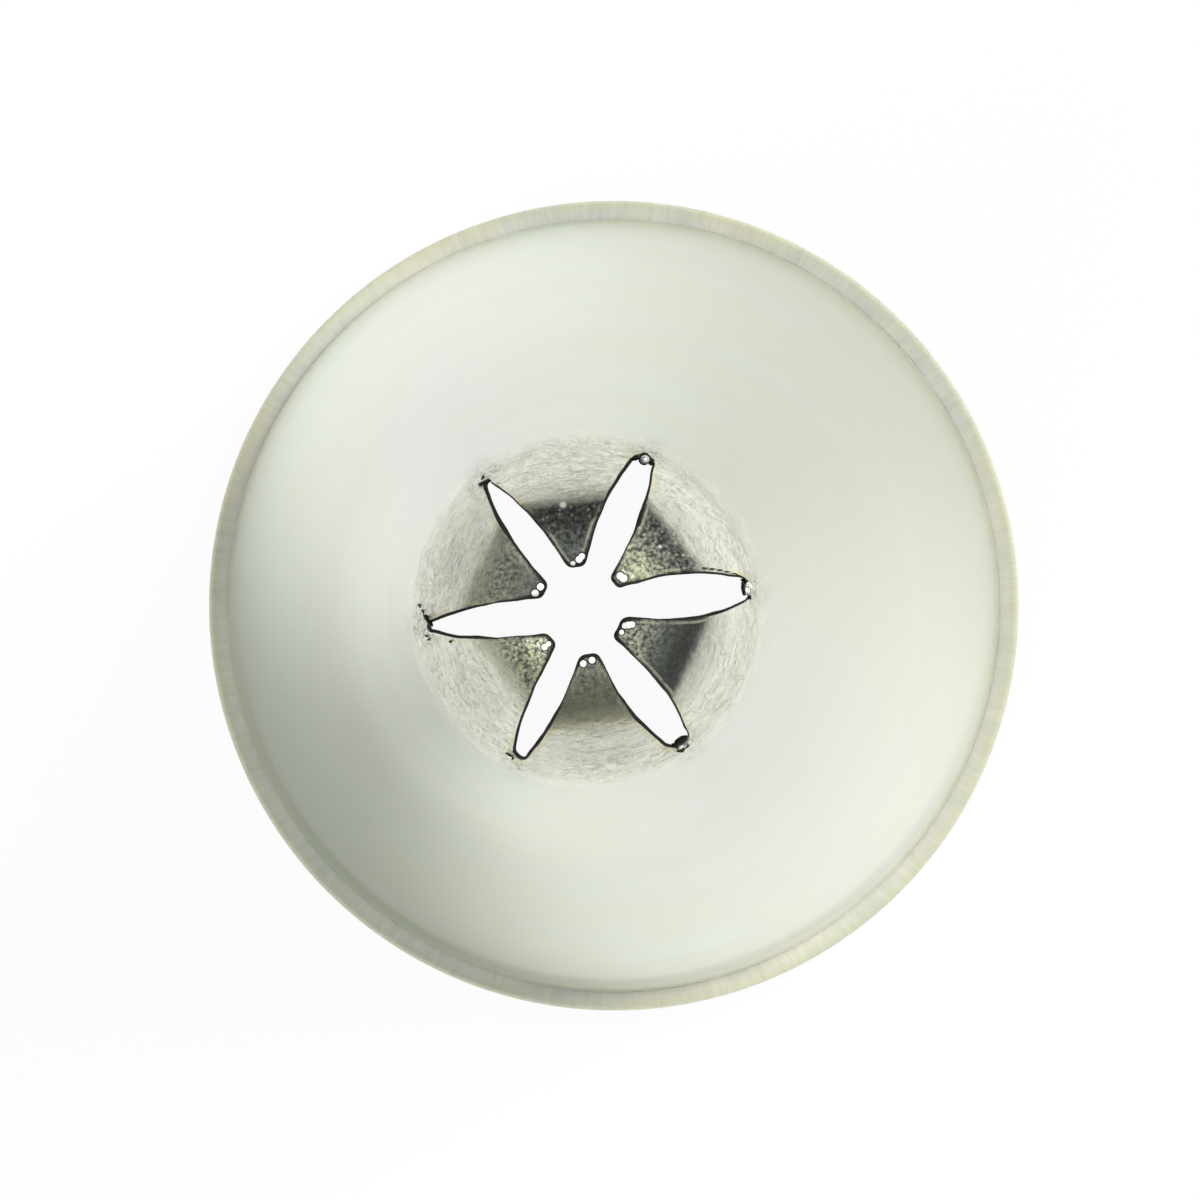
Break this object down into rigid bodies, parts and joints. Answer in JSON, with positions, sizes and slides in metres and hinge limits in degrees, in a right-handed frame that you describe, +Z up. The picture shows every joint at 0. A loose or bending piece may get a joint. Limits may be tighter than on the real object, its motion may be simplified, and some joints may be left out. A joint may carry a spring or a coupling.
{
  "type": "piping nozzle",
  "caption": "Small closed-star piping nozzle: a tapered steel shell with bent-in teeth over a star-shaped mouth and a narrow ring round its wide foot.",
  "frame": {"origin": "centre of the wide foot, on the surface that the nozzle stands on", "axes": "+Z up the nozzle's axis towards the mouth, +X along the first slot of the star"},
  "size_m": [0.018, 0.018, 0.031],
  "materials": {
    "polished_steel": "satin, drawn and lightly polished, with a rougher pressed crown",
    "rim_steel": "matt, with fine radial marks"
  },
  "bodies": {
    "root": {"nozzle_cone": "polished_steel", "rim_ring": "rim_steel"}
  },
  "joints": []
}
